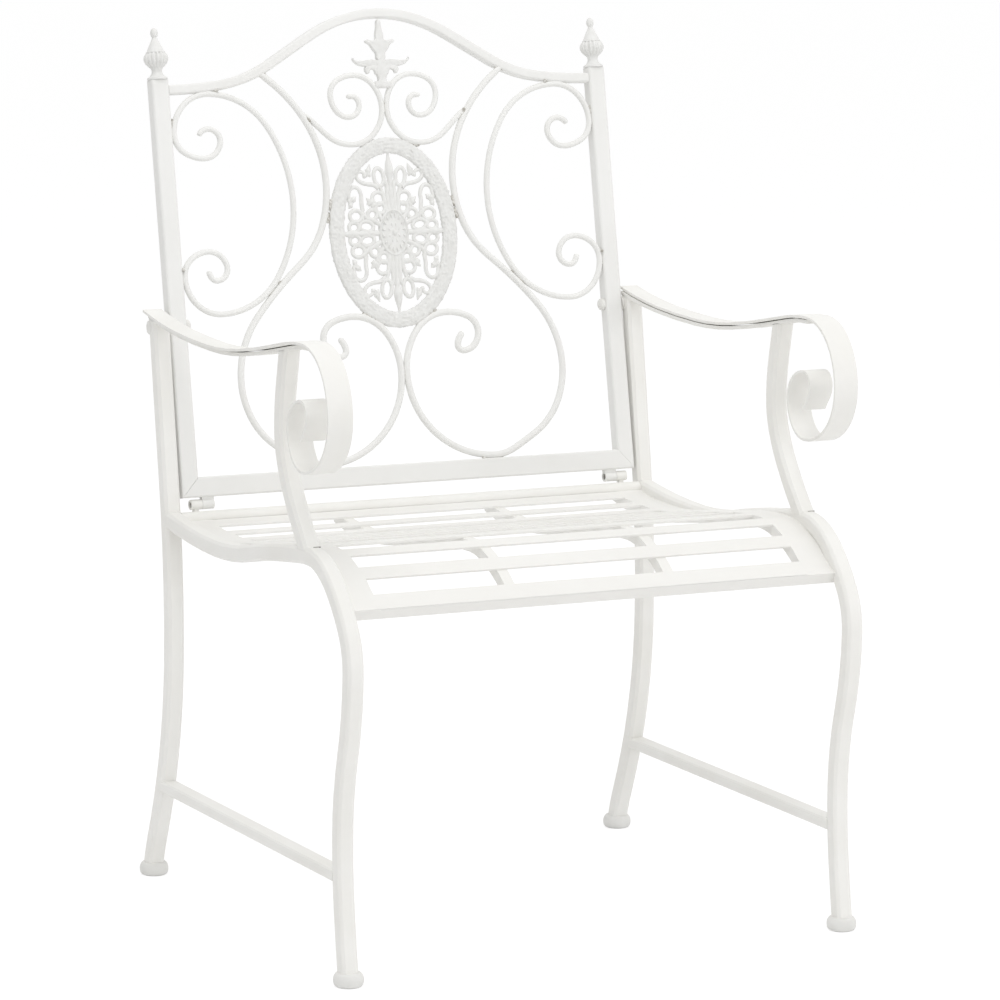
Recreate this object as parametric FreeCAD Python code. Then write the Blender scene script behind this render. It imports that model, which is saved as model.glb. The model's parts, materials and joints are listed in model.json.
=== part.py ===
import FreeCAD, Part
import math
import os
from FreeCAD import Vector, Placement, Rotation

# Garden armchair of bent square tube, flat bar and round rod.
# X runs across the chair, Y from front to back, Z up from the floor.
# A side curve is a list of (y, z) points, a back curve a list of (x, s) points, where s
# runs up the leaning back. A third value is the heading there, in degrees.

# Side frames: two bent square tubes, each side of the seat.
TUBE = 18.0
TUBE_CHAMFER = 3.0
EDGE_CHAMFER = 1.6
BACK_GAP = 3.2
FRONT_FOOT_Y = -253.6
FRONT_SHIN_Y = -236.4
FRONT_SHIN_Z = 149.6
KNEE_Y = -258.2
KNEE_Z = 314.4
SHOULDER_Y = -216.2
SHOULDER_Z = 392.8
HUMP_Y = -161.2
HUMP_Z = 416.7
RISE_Y = -104.2
RISE_Z = 411.0
DIP_Y = 74.1
DIP_Z = 385.9
RAIL_REAR_Z = 395.9
REAR_FOOT_Y = 254.0
REAR_SHIN_Y = 231.9
REAR_SHIN_Z = 67.6
REAR_WAIST_Y = 196.6
REAR_WAIST_Z = 256.0
LEG_BEFORE_BOLT = 3.5
STRETCHER_WIDTH = 18.0
STRETCHER_HEIGHT = 12.0
STRETCHER_REAR_Z = 105.0
STRETCHER_FRONT_Z = 108.0
CAP_DIAMETER = 31.0
CAP_HEIGHT = 14.0
CAP_FLOOR = 4.0

# Arm: a flat band on a narrower bar, ending in a scroll.
ARM_LOW_Y = 77.0
ARM_LOW_Z = 598.9
ARM_REAR_RISE = 14.3
ARM_SLOPE_Y = -79.7
ARM_SLOPE_Z = 618.3
ARM_CREST_Y = -166.0
ARM_CREST_Z = 631.3
SCROLL_FRONT_Y = -230.5
SCROLL_BOTTOM_Z = 501.2
SCROLL_RADIUS = 63.1
ARM_THICK = 3.0
ARM_WIDTH_REAR = 21.0
ARM_WIDTH_FRONT = 27.0
ARM_SET_IN = 10.8
ARM_BAR_WIDTH = 18.0
ARM_BAR_THICK = 4.0
ARM_REAR_OVERHANG = 10.5
POST_FOOT_Y = -157.2
POST_RISE_Y = -114.8
POST_RISE_Z = 469.2
POST_BOW_Y = -89.4
POST_BOW_Z = 538.8
POST_TOP_Y = -101.4

# Seat: flat slats across two bars, between two bent side rails.
REAR_RAIL_DIAMETER = 15.0
REAR_RAIL_SETBACK = 2.9
REAR_RAIL_DROP = 0.9
SEAT_DIP_Y = 116.5
SEAT_DIP_Z = 388.4
SEAT_SLOPE_Y = -14.1
SEAT_SLOPE_Z = 404.5
SEAT_HUMP_Y = -133.3
SEAT_HUMP_Z = 418.1
SEAT_FALL_Y = -190.9
SEAT_FALL_Z = 401.5
SEAT_FRONT_Y = -235.3
SEAT_FRONT_Z = 373.9
SEAT_RAIL_WIDTH = 31.5
SEAT_RAIL_DEPTH = 12.0
FRONT_RAIL_WIDTH = 21.8
SLAT_START = 4.5
SLAT_WIDTH = 19.2
SLAT_THICK = 2.0
SLAT_COUNT = 10
SUPPORT_SIZE = 12.0
SUPPORT_X = 90.0
TAB_LENGTH = 26.0
TAB_WIDTH = 24.0
TAB_THICK = 3.0
TAB_BOLT_IN = 16.0
TAB_FRONT_Y = -159.0
TAB_REAR_Y = 150.0
BOLT_DIAMETER = 8.0
NUT_DIAMETER = 13.0
NUT_HEIGHT = 6.5

# Back: a framed panel that leans back and hinges forward on its lower edge.
RECLINE = 11.55
BACK_HALF = 269.4
BACK_HEIGHT = 444.1
BACK_POST_WIDTH = 19.5
BACK_DEPTH = 16.0
BOTTOM_RAIL_HEIGHT = 21.5
TOP_RAIL_THICK = 10.5
TOP_RAIL_DEPTH = 14.0
TOP_RAIL_DROP = 6.0
CREST_RISE = 70.7
ROD_SETBACK = 4.0
LYRE_ROD = 6.0
SCROLL_ROD = 5.0
ROD_SIDES = 6
TURNED_SIDES = 12
BAR_SAG = 0.2
ROD_SAG = 0.3
RING_SHARE = 0.6
RING_HALF_WIDTH = 75.5
RING_HALF_HEIGHT = 103.0
RING_BAR = 15.5
RING_THICK = 7.0
BOSS_HALF_WIDTH = 16.6
BOSS_HALF_HEIGHT = 25.0
FLEUR_THICK = 6.0
BACK_BOLT_S = 182.5

# Hinges under the bottom rail of the back.
HINGE_RISE = 13.84
HINGE_BEHIND = 6.45
BARREL_DIAMETER = 10.8
PIN_DIAMETER = 7.0
HINGE_RUN = 0.05
HINGE_CLEAR = 2.1
HINGE_SETBACK = 6.5
HINGE_INSET = 9.7
KNUCKLE_SEAT = 12.5
KNUCKLE_BACK = 13.9
KNUCKLE_GAP = 0.3
PIN_RECESS = 2.0
LUG_WIDTH = 5.0
STRAP_PROUD = 1.0
PLAY = 0.4

nodes = {}
DISTANCE, U, V = range(3)
JOIN = 0.05
LEG_IN = BACK_HALF + BACK_GAP
FRAME_X = LEG_IN + TUBE / 2
LEG_OUT = LEG_IN + TUBE
ARM_INNER_X = FRAME_X - ARM_SET_IN
POST_IN = BACK_HALF - BACK_POST_WIDTH
RAIL_TOP = BOTTOM_RAIL_HEIGHT
TOP_RAIL_EDGE = BACK_HEIGHT - TOP_RAIL_DROP
CREST_TOP = BACK_HEIGHT + CREST_RISE
RING_CENTRE = RAIL_TOP + RING_SHARE * (TOP_RAIL_EDGE - RAIL_TOP)
REAR_RAIL_Y = REAR_WAIST_Y + REAR_RAIL_SETBACK
REAR_RAIL_Z = RAIL_REAR_Z - REAR_RAIL_DROP


def chord(a, b):
    return math.atan2(b[1] - a[1], b[0] - a[0]), math.hypot(b[0] - a[0], b[1] - a[1])


def wrap(angle):
    return (angle + math.pi) % (2 * math.pi) - math.pi


def headings(points):
    # A point with no heading takes that of the circle through it and its neighbours.
    found = []
    last = len(points) - 1
    for i, point in enumerate(points):
        if len(point) == 3:
            found.append(math.radians(point[2]))
            continue
        k = min(max(i, 1), last - 1)
        h1, l1 = chord(points[k - 1], points[k])
        h2, l2 = chord(points[k], points[k + 1])
        turn = wrap(h2 - h1)
        half = math.atan2(l1 * math.sin(turn), l2 + l1 * math.cos(turn))
        if i == 0:
            found.append(h1 - half)
        elif i == last:
            found.append(h2 + turn - half)
        else:
            found.append(h1 + half)
    return found


def arc_run(a, heading, b):
    # One arc from a, leaving along the heading, to b: (u, v, heading, length, turn).
    towards, span = chord(a, b)
    half = wrap(towards - heading)
    length = span if abs(half) < 1e-6 else span * half / math.sin(half)
    return a[0], a[1], heading, length, 2 * half


def curve(points):
    # Two tangent arcs between each pair of points.
    runs = []
    angles = headings(points)
    for i in range(len(points) - 1):
        a, b = points[i][:2], points[i + 1][:2]
        ta = math.cos(angles[i]), math.sin(angles[i])
        tb = math.cos(angles[i + 1]), math.sin(angles[i + 1])
        vx, vy = b[0] - a[0], b[1] - a[1]
        along = vx * (ta[0] + tb[0]) + vy * (ta[1] + tb[1])
        open_ = 2 * (1 - ta[0] * tb[0] - ta[1] * tb[1])
        square = vx * vx + vy * vy
        if open_ < 1e-9:
            reach = square / (2 * along)
        else:
            reach = (math.sqrt(along * along + open_ * square) - along) / open_
        mid = ((a[0] + reach * ta[0] + b[0] - reach * tb[0]) / 2,
               (a[1] + reach * ta[1] + b[1] - reach * tb[1]) / 2)
        first = arc_run(a, angles[i], mid)
        runs.append(first)
        runs.append(arc_run(mid, first[2] + first[4], b))
    return runs


def on_run(run, part):
    u, v, heading, length, turn = run
    if abs(turn) < 1e-6:
        return u + part * length * math.cos(heading), v + part * length * math.sin(heading)
    radius = length / turn
    after = heading + turn * part
    return (u + radius * (math.sin(after) - math.sin(heading)),
            v - radius * (math.cos(after) - math.cos(heading)))


def stations(points, sag):
    # A curve as chords within the sag of its arcs: rows of distance, u, v and the unit
    # vector off to the left.
    row = []
    passed = 0.0
    for run in curve(points):
        turn = abs(run[4])
        step = 2 * math.acos(1 - sag * turn / run[3]) if turn > 1e-6 else math.pi
        count = max(1, math.ceil(turn / step))
        for k in range(1 if row else 0, count + 1):
            heading = run[2] + run[4] * k / count
            place = on_run(run, k / count)
            row.append((passed + run[3] * k / count,) + place + (-math.sin(heading), math.cos(heading)))
        passed += run[3]
    return row


def where(row, column, value):
    # The station where a column, such as the distance, first passes a value.
    for low, high in zip(row, row[1:]):
        if (low[column] - value) * (high[column] - value) <= 0:
            share = (value - low[column]) / (high[column] - low[column])
            return tuple(a + share * (b - a) for a, b in zip(low, high))


def stretch(row, start, end):
    # The part of a curve between two distances along it.
    inner = [station for station in row if start + JOIN < station[0] < end - JOIN]
    return [where(row, DISTANCE, start)] + inner + [where(row, DISTANCE, end)]


def side_plane(x):
    return lambda u, v: Vector(x, u, v)


def back_plane(depth):
    return lambda u, v: Vector(u, depth, v)


def outline(origin, across, up, low, high, left, right, chamfer=0.0):
    # Rectangle from low to high along up and left to right across, corners chamfered.
    c = chamfer
    corners = [(left + c, low), (right - c, low), (right, low + c), (right, high - c),
               (right - c, high), (left + c, high), (left, high - c), (left, low + c)]
    if chamfer == 0:
        corners = [(left, low), (right, low), (right, high), (left, high)]
    return [origin + across * a + up * b for a, b in corners]


def closed(points):
    return Part.Face(Part.makePolygon(points + points[:1]))


def skinned(rings):
    # Solid over a row of rings with the same number of corners.
    faces = [closed(rings[0]), closed(rings[-1])]
    for low, high in zip(rings, rings[1:]):
        for k in range(len(low)):
            n = (k + 1) % len(low)
            faces.append(closed([low[k], low[n], high[n], high[k]]))
    shell = Part.makeShell(faces)
    shell.sewShape()
    solid = Part.makeSolid(shell)
    if solid.Volume < 0:
        solid.reverse()
    return solid


def bar(row, place, side, low, high, left, right, chamfer=0.0):
    # Bar along a curve. low and high are off the curve, to the left of its heading.
    rings = []
    for distance, u, v, left_u, left_v in row:
        origin = place(u, v)
        up = place(u + left_u, v + left_v) - origin
        rings.append(outline(origin, side, up, low, high, left, right, chamfer))
    return skinned(rings)


def rod(row, place, diameter):
    # Round rod, drawn with a few flats.
    rings = []
    side = (place(1, 0) - place(0, 0)).cross(place(0, 1) - place(0, 0))
    for distance, u, v, left_u, left_v in row:
        origin = place(u, v)
        up = place(u + left_u, v + left_v) - origin
        ring = []
        for k in range(ROD_SIDES):
            angle = 2 * math.pi * (k + 0.5) / ROD_SIDES
            ring.append(origin + (up * math.cos(angle) + side * math.sin(angle)) * diameter / 2)
        rings.append(ring)
    return skinned(rings)


def prism(points, thick):
    # Flat piece cut to an outline, its thickness along Y.
    return closed(points).extrude(Vector(0, thick, 0))


def main_solid(shape):
    # A cut can leave a crumb on the far side: only the largest solid stays.
    return max(shape.Solids, key=lambda solid: solid.Volume)


def block(x0, x1, y0, y1, z0, z1):
    return Part.makeBox(x1 - x0, y1 - y0, z1 - z0, Vector(x0, y0, z0))


def upright(x0, x1, y0, y1, z0, z1, chamfer):
    # Block along Z with chamfered upright edges.
    section = outline(Vector(0, 0, z0), Vector(1, 0, 0), Vector(0, 1, 0), y0, y1, x0, x1, chamfer)
    return closed(section).extrude(Vector(0, 0, z1 - z0))


def turned(profile, origin, sides, along=Vector(0, 0, 1)):
    # Turned piece from (radius, height) points, drawn with flats round it.
    out = Vector(0, 1, 0) if abs(along.x) > 0.5 else Vector(1, 0, 0)
    out = (out - along * out.dot(along)).normalize()
    over = along.cross(out)
    rings = []
    for r, h in profile:
        ring = []
        for k in range(sides):
            angle = 2 * math.pi * (k + 0.5) / sides
            ring.append(origin + along * h + (out * math.cos(angle) + over * math.sin(angle)) * r)
        rings.append(ring)
    return skinned(rings)


def mirror(shape):
    return shape.mirror(Vector(0, 0, 0), Vector(1, 0, 0))


def pair(name, shape):
    # The chair's left is on the sitter's left, which is +X.
    nodes["left_" + name] = shape
    nodes["right_" + name] = mirror(shape)


def both(*shapes):
    # Small fittings that repeat on both sides are one set.
    return Part.makeCompound([copy for shape in shapes for copy in (shape, mirror(shape))])


ACROSS = Vector(1, 0, 0)
hinge_s = -HINGE_CLEAR - BARREL_DIAMETER / 2
hinge = Vector(0, REAR_RAIL_Y + HINGE_BEHIND, REAR_RAIL_Z + HINGE_RISE)
TURN = Rotation(ACROSS, -RECLINE)
LEAN = Placement(hinge - TURN.multVec(Vector(0, HINGE_SETBACK, hinge_s)), TURN)


def lean(shape):
    # From the back's own frame (x, depth behind the front face, s) to the chair's.
    moved = shape.copy()
    moved.Placement = LEAN.multiply(moved.Placement)
    return moved


# Side frame curves.
bolt_at = LEAN.multVec(Vector(0, BACK_DEPTH / 2, BACK_BOLT_S))
leg_top_y = bolt_at.y - LEG_BEFORE_BOLT
leg_row = stations([
    (REAR_FOOT_Y, 0, 97), (REAR_SHIN_Y, REAR_SHIN_Z, 111), (REAR_WAIST_Y, REAR_WAIST_Z, 90),
    (leg_top_y, ARM_LOW_Z + TUBE, 81)], BAR_SAG)
rail_row = stations([
    (REAR_WAIST_Y + 0.6 * TUBE, RAIL_REAR_Z, 188), (DIP_Y, DIP_Z, 180), (RISE_Y, RISE_Z, 173),
    (HUMP_Y, HUMP_Z, 180), (SHOULDER_Y, SHOULDER_Z, 223), (KNEE_Y, KNEE_Z, -90),
    (FRONT_SHIN_Y, FRONT_SHIN_Z, -90), (FRONT_FOOT_Y, 0, -100.5)], BAR_SAG)
scroll_nodes = [(0, 0.954, -90), (1, 0, 0), (1.594, 0.672, 90), (1.052, 1.166, 180), (0.818, 0.916, 270),
                (1.038, 0.504, 301)]
arm_points = [
    (leg_top_y + ARM_REAR_OVERHANG, ARM_LOW_Z + ARM_REAR_RISE, 191), (ARM_LOW_Y, ARM_LOW_Z, 180),
    (ARM_SLOPE_Y, ARM_SLOPE_Z, 168), (ARM_CREST_Y, ARM_CREST_Z, 180)]
for u, v, heading in scroll_nodes:
    arm_points.append((SCROLL_FRONT_Y + u * SCROLL_RADIUS, SCROLL_BOTTOM_Z + v * SCROLL_RADIUS, heading))
arm_row = stations(arm_points, BAR_SAG)
arm_post_row = stations([
    (POST_FOOT_Y, HUMP_Z, 48), (POST_RISE_Y, POST_RISE_Z, 55), (POST_BOW_Y, POST_BOW_Z, 90),
    (POST_TOP_Y, ARM_CREST_Z - ARM_SET_IN, 101)], BAR_SAG)
half = TUBE / 2
side = side_plane(FRAME_X)

rear_leg = bar(leg_row, side, ACROSS, -half, half, -half, half, TUBE_CHAMFER)
side_rail = bar(rail_row, side, ACROSS, -half, half, -half, half, TUBE_CHAMFER)
arm_post = bar(arm_post_row, side, ACROSS, -half, half, -half, half, TUBE_CHAMFER)

# The band's upper face follows the arm curve, with the bar right under it.
arm_reach = where(arm_row, U, ARM_CREST_Y)[DISTANCE]
band_outer = ARM_INNER_X + ARM_WIDTH_FRONT
band = bar(arm_row, side_plane(0), ACROSS, 0, ARM_THICK, ARM_INNER_X, band_outer)
trim = (ARM_WIDTH_FRONT - ARM_WIDTH_REAR) / 2
rear_y = leg_top_y + ARM_REAR_OVERHANG + TUBE
for x, way in ((ARM_INNER_X, 1), (band_outer, -1)):
    wedge = closed([Vector(x - way, POST_TOP_Y, 0), Vector(x, POST_TOP_Y, 0),
                    Vector(x + way * trim, rear_y, 0), Vector(x - way, rear_y, 0)])
    band = band.cut(wedge.extrude(Vector(0, 0, 2 * ARM_CREST_Z)))
bar_half = ARM_BAR_WIDTH / 2
under = ARM_THICK + ARM_BAR_THICK
arm_bar = bar(stretch(arm_row, ARM_REAR_OVERHANG / 2, arm_reach), side, ACROSS,
              ARM_THICK, under, -bar_half, bar_half)
above = bar(stretch(arm_row, 0, arm_reach), side, ACROSS, -2 * TUBE, under, -TUBE, TUBE)
rear_leg = main_solid(rear_leg.cut(above))
arm_post = main_solid(arm_post.cut(above).cut(side_rail))
side_rail = main_solid(side_rail.cut(rear_leg))

stretcher_rear = (where(leg_row, V, STRETCHER_REAR_Z)[U], STRETCHER_REAR_Z)
stretcher_front = (where(rail_row, V, STRETCHER_FRONT_Z)[U], STRETCHER_FRONT_Z)
stretcher_heading = math.degrees(chord(stretcher_rear, stretcher_front)[0])
stretcher_ends = [stretcher_rear + (stretcher_heading,), stretcher_front + (stretcher_heading,)]
sw, sh = STRETCHER_WIDTH / 2, STRETCHER_HEIGHT / 2
stretcher = bar(stations(stretcher_ends, BAR_SAG), side, ACROSS, -sh, sh, -sw, sw, EDGE_CHAMFER)
stretcher = main_solid(stretcher.cut(rear_leg).cut(side_rail))

# Foot caps, bulged, closed under the tube.
cap_r = CAP_DIAMETER / 2
cap_profile = [(cap_r - 3, 0), (cap_r - 0.8, 2.5), (cap_r, 6.5), (cap_r - 0.7, 10.5),
               (cap_r - 2.7, CAP_HEIGHT)]
above_floor = block(LEG_IN - TUBE, LEG_OUT + TUBE, 2 * KNEE_Y, 2 * REAR_FOOT_Y, CAP_FLOOR, 2 * ARM_CREST_Z)


def foot_cap(leg, y):
    # Bulged cap with a socket for the end of the tube.
    return turned(cap_profile, Vector(FRAME_X, y, 0), TURNED_SIDES).cut(leg)


rear_leg = rear_leg.common(above_floor)
side_rail = side_rail.common(above_floor)
rear_cap = foot_cap(rear_leg, where(leg_row, V, CAP_HEIGHT / 2)[U])
front_cap = foot_cap(side_rail, where(rail_row, V, CAP_HEIGHT / 2)[U])

# Seat.
seat_row = stations([
    (REAR_RAIL_Y - REAR_RAIL_DIAMETER / 4, REAR_RAIL_Z, 195), (SEAT_DIP_Y, SEAT_DIP_Z, 180),
    (SEAT_SLOPE_Y, SEAT_SLOPE_Z, 171.7), (SEAT_HUMP_Y, SEAT_HUMP_Z, 180),
    (SEAT_FALL_Y, SEAT_FALL_Z, 206.3), (SEAT_FRONT_Y, SEAT_FRONT_Z, 204.6)], BAR_SAG)
seat_length = seat_row[-1][DISTANCE]
seat_in = LEG_IN - SEAT_RAIL_WIDTH
seat = side_plane(0)
rear_rail = Part.makeCylinder(REAR_RAIL_DIAMETER / 2, 2 * LEG_IN,
                              Vector(-LEG_IN, REAR_RAIL_Y, REAR_RAIL_Z), ACROSS)
seat_rail = bar(seat_row, seat, ACROSS, 0, SEAT_RAIL_DEPTH, seat_in, LEG_IN)
seat_rail = main_solid(seat_rail.cut(rear_rail))
front_start = seat_length - FRONT_RAIL_WIDTH
front_rail = bar(stretch(seat_row, front_start, seat_length), seat, ACROSS, 0, SEAT_RAIL_DEPTH,
                 -seat_in, seat_in)
support_in = SUPPORT_X - SUPPORT_SIZE / 2
support = bar(stretch(seat_row, 0, front_start), seat, ACROSS, SLAT_THICK, SLAT_THICK + SUPPORT_SIZE,
              support_in, support_in + SUPPORT_SIZE)
support = main_solid(support.cut(rear_rail))
slat_pitch = (front_start - SLAT_START) / SLAT_COUNT
for k in range(SLAT_COUNT):
    start = SLAT_START + k * slat_pitch
    slat = bar(stretch(seat_row, start, start + SLAT_WIDTH), seat, ACROSS, 0, SLAT_THICK, -seat_in, seat_in)
    nodes["seat_slat_%02d" % (k + 1)] = slat.cut(rear_rail)


def tab_at(y):
    # Tab off the side frame under the seat rail, with its bolt hanging below.
    distance, u, v, down_u, down_v = where(seat_row, U, y)
    piece = stretch(seat_row, distance - TAB_LENGTH / 2, distance + TAB_LENGTH / 2)
    deep = SEAT_RAIL_DEPTH + TAB_THICK
    tab = bar(piece, seat, ACROSS, SEAT_RAIL_DEPTH, deep, LEG_IN - TAB_WIDTH, LEG_IN)
    down = Vector(0, down_u, down_v).normalize()
    top = Vector(LEG_IN - TAB_BOLT_IN, u, v) + Vector(0, down_u, down_v) * deep
    nut_r = NUT_DIAMETER / 2
    nut = turned([(nut_r, 0), (nut_r, NUT_HEIGHT - 1.5), (nut_r - 2, NUT_HEIGHT)], top, 6, down)
    return tab, nut.cut(tab)


front_tab, front_nut = tab_at(TAB_FRONT_Y)
rear_tab, rear_nut = tab_at(TAB_REAR_Y)

pair("side_rail", side_rail)
pair("arm_post", arm_post)
pair("stretcher", stretcher)
pair("arm_bar", arm_bar)
pair("armrest", band)
nodes["foot_caps"] = both(front_cap, rear_cap)
pair("seat_rail", seat_rail)
pair("seat_support", support)
nodes["seat_front_rail"] = front_rail
nodes["seat_rear_rail"] = rear_rail
nodes["seat_tabs"] = both(front_tab, rear_tab)
nodes["seat_nuts"] = both(front_nut, rear_nut)

# Back frame, in its own flat frame: X, depth, s.
post = upright(POST_IN, BACK_HALF, 0, BACK_DEPTH, 0, BACK_HEIGHT, EDGE_CHAMFER)
mitre = closed([Vector(POST_IN - 1, 0, RAIL_TOP + 1), Vector(BACK_HALF, 0, 0), Vector(POST_IN - 1, 0, -1)])
post = post.cut(mitre.extrude(Vector(0, BACK_DEPTH, 0)))
rail_section = outline(Vector(-BACK_HALF, 0, 0), Vector(0, 1, 0), Vector(0, 0, 1), 0, RAIL_TOP,
                       0, BACK_DEPTH, EDGE_CHAMFER)
bottom_rail = closed(rail_section).extrude(Vector(2 * BACK_HALF, 0, 0))
bottom_rail = bottom_rail.cut(post).cut(mirror(post))
corner = prism([Vector(POST_IN, -1, RAIL_TOP), Vector(BACK_HALF, -1, 0),
                Vector(BACK_HALF + 1, -1, RAIL_TOP)], BACK_DEPTH + 2)
bottom_rail = main_solid(bottom_rail.cut(corner).cut(mirror(corner)))

edge, crest_height = TOP_RAIL_EDGE, CREST_TOP - TOP_RAIL_EDGE
top_half = [(POST_IN, edge, 180), (0.543 * POST_IN, edge + 0.289 * crest_height, 150),
            (0.317 * POST_IN, edge + 0.726 * crest_height, 151)]
top_points = top_half + [(0, CREST_TOP, 180)] + [(-x, s, 360 - h) for x, s, h in top_half[::-1]]
rail_front = (BACK_DEPTH - TOP_RAIL_DEPTH) / 2
top_rail = bar(stations(top_points, BAR_SAG), back_plane(rail_front), Vector(0, 1, 0), 0, TOP_RAIL_THICK,
               0, TOP_RAIL_DEPTH, EDGE_CHAMFER)

# The rods hang on the ring, the top rail and the posts.
flat = back_plane(ROD_SETBACK)
lr, sr = LYRE_ROD / 2, SCROLL_ROD / 2
middle, wide = RING_CENTRE, RING_HALF_WIDTH
room = POST_IN - wide
ring_top, ring_foot = middle + RING_HALF_HEIGHT, middle - RING_HALF_HEIGHT
below = ring_foot - RAIL_TOP
lyre_row = stations([
    (0.568 * POST_IN, edge + 8, -146), (wide - 0.5, middle + 55.3, -90),
    (wide + 0.21 * room, middle - 29.8, -39), (wide + 0.667 * room, RAIL_TOP + 0.663 * below, -90),
    (wide + 0.436 * room, RAIL_TOP + 0.163 * below, -149), (wide + 0.149 * room, RAIL_TOP + lr, 180),
    (lr, RAIL_TOP + 0.671 * below, 90), (wide - 19.6, ring_foot + 14.5, 0),
    (wide + 17, ring_foot - 8.9, -90), (wide - 2.7, ring_foot - 28.6, -180),
    (wide - 2.4, ring_foot - 9, 42)], ROD_SAG)
touch = POST_IN - sr
scroll_row = stations([
    (POST_IN - 31.1, edge - 54.2, 120), (POST_IN - 42, edge - 47.9, 180), (POST_IN - 36.1, edge - 79.7, 0),
    (touch, edge - 52.8, 90), (POST_IN - 43.6, edge - 10.6, 180),
    (POST_IN - 0.772 * room, middle + 36.8, -90), (POST_IN - 0.243 * room, middle - 79.5, 0),
    (touch, middle - 38.3, 90), (POST_IN - 32.2, middle - 11.7, 180),
    (POST_IN - 39.8, middle - 43.5, 0), (POST_IN - 30.5, middle - 33, 80)], ROD_SAG)
crest_row = stations([
    (42.8, ring_top + 44.9, 152), (42.5, ring_top + 22.9, 0), (63, ring_top + 47.6, 90),
    (34.6, ring_top + 68.7, 180), (sr, ring_top + 32.7, -90), (41.3, ring_top - 6.7, 0),
    (95, ring_top + 29, 46)], ROD_SAG)


def oval(half_width, half_height):
    # Oval of tangent arcs about the ring's centre.
    top, foot = middle + half_height, middle - half_height
    return stations([(0, top, 180), (-half_width, middle, -90), (0, foot, 0), (half_width, middle, 90),
                     (0, top, 180)], BAR_SAG)


ring_front = ROD_SETBACK - RING_THICK / 2
ring_half = RING_BAR / 2
ring_row = oval(RING_HALF_WIDTH - ring_half, RING_HALF_HEIGHT - ring_half)
round_ = ring_row[-1][DISTANCE]
ring = []
for row in (stretch(ring_row, 0, round_ / 2), stretch(ring_row, round_ / 2, round_)):
    ring.append(bar(row, back_plane(ring_front), Vector(0, 1, 0), -ring_half, ring_half,
                    0, RING_THICK, RING_THICK / 3))
ring = ring[0].fuse(ring[1]).removeSplitter()
lyre = main_solid(rod(lyre_row, flat, LYRE_ROD).cut(top_rail).cut(ring))
scroll = main_solid(rod(scroll_row, flat, SCROLL_ROD).cut(lyre).cut(top_rail))
crest = main_solid(rod(crest_row, flat, SCROLL_ROD).cut(top_rail).cut(ring).cut(lyre))

inner_w, inner_h = RING_HALF_WIDTH - RING_BAR, RING_HALF_HEIGHT - RING_BAR
boss_row = oval(BOSS_HALF_WIDTH, BOSS_HALF_HEIGHT)[:-1]
rosette = prism([Vector(station[U], ring_front, station[V]) for station in boss_row], RING_THICK)
for across, up in ((0, inner_h), (0, -inner_h), (inner_w, 0), (-inner_w, 0)):
    foot_x, foot_s = (3, 0) if across == 0 else (0, 3)
    spoke = [(-foot_x, -foot_s), (foot_x, foot_s), (across + foot_x / 2, up + foot_s / 2),
             (across - foot_x / 2, up - foot_s / 2)]
    spoke_front = ring_front + RING_THICK / 4
    corners = [Vector(x, spoke_front, middle + s) for x, s in spoke]
    rosette = rosette.fuse(prism(corners, RING_THICK / 2))

# The fleur's outline: half widths, and heights as shares from its collar to the crest.
fleur_half = [
    (9.4, 0), (9.4, 0.089), (5, 0.104), (5.3, 0.148), (7, 0.211), (10, 0.254), (14.9, 0.247), (18.2, 0.218),
    (19.9, 0.297), (8.4, 0.319), (22, 0.311), (31, 0.364), (32.6, 0.432), (25, 0.393), (12, 0.406),
    (3.6, 0.389), (4.5, 0.411), (8.3, 0.53), (12.2, 0.614), (17, 0.674), (6.5, 0.674), (4.5, 0.884),
    (2.4, 0.974)]
fleur_top = CREST_TOP - TOP_RAIL_THICK
fleur_foot = ring_top + 53.7
fleur_front = ROD_SETBACK - FLEUR_THICK / 2
fleur_points = fleur_half + [(0, 1)] + [(-x, share) for x, share in fleur_half[::-1]]
fleur_points = [(x, fleur_foot + share * (fleur_top - fleur_foot)) for x, share in fleur_points]
fleur = prism([Vector(x, fleur_front, s) for x, s in fleur_points], FLEUR_THICK)
fleur = main_solid(fleur.cut(top_rail).cut(crest).cut(mirror(crest)))

finial_x = BACK_HALF - BACK_POST_WIDTH / 2
finial = turned([(10.5, 0), (10.5, 2.5), (7.5, 5), (5, 9.5), (8, 14.5), (12, 19), (13.5, 23), (12, 28),
                 (7.5, 36), (3, 41), (4.8, 45), (3.6, 50), (0.6, 55.5)],
                Vector(finial_x, BACK_DEPTH / 2, BACK_HEIGHT), TURNED_SIDES)

pair("back_post", lean(post))
nodes["back_bottom_rail"] = lean(bottom_rail)
nodes["back_top_rail"] = lean(top_rail)
pair("lyre_rod", lean(lyre))
pair("side_scroll", lean(scroll))
pair("crest_scroll", lean(crest))
nodes["medallion_ring"] = lean(ring)
nodes["medallion_rosette"] = lean(rosette)
nodes["fleur"] = lean(fleur)
nodes["finials"] = both(lean(finial))

# Hinges: barrel halves on one pin, the inner on the back, the outer on the seat's rear rail.
barrel_r = BARREL_DIAMETER / 2
pin_r = PIN_DIAMETER / 2
knuckle_outer = BACK_HALF - HINGE_INSET
knuckle_join = knuckle_outer - KNUCKLE_SEAT
knuckle_inner = knuckle_join - KNUCKLE_BACK
back_end = knuckle_join - KNUCKLE_GAP


def tube_at(x0, x1, outer, inner):
    base = Vector(x0, hinge.y, hinge.z)
    solid = Part.makeCylinder(outer, x1 - x0, base, ACROSS)
    return solid.cut(Part.makeCylinder(inner, x1 - x0, base, ACROSS))


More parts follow.
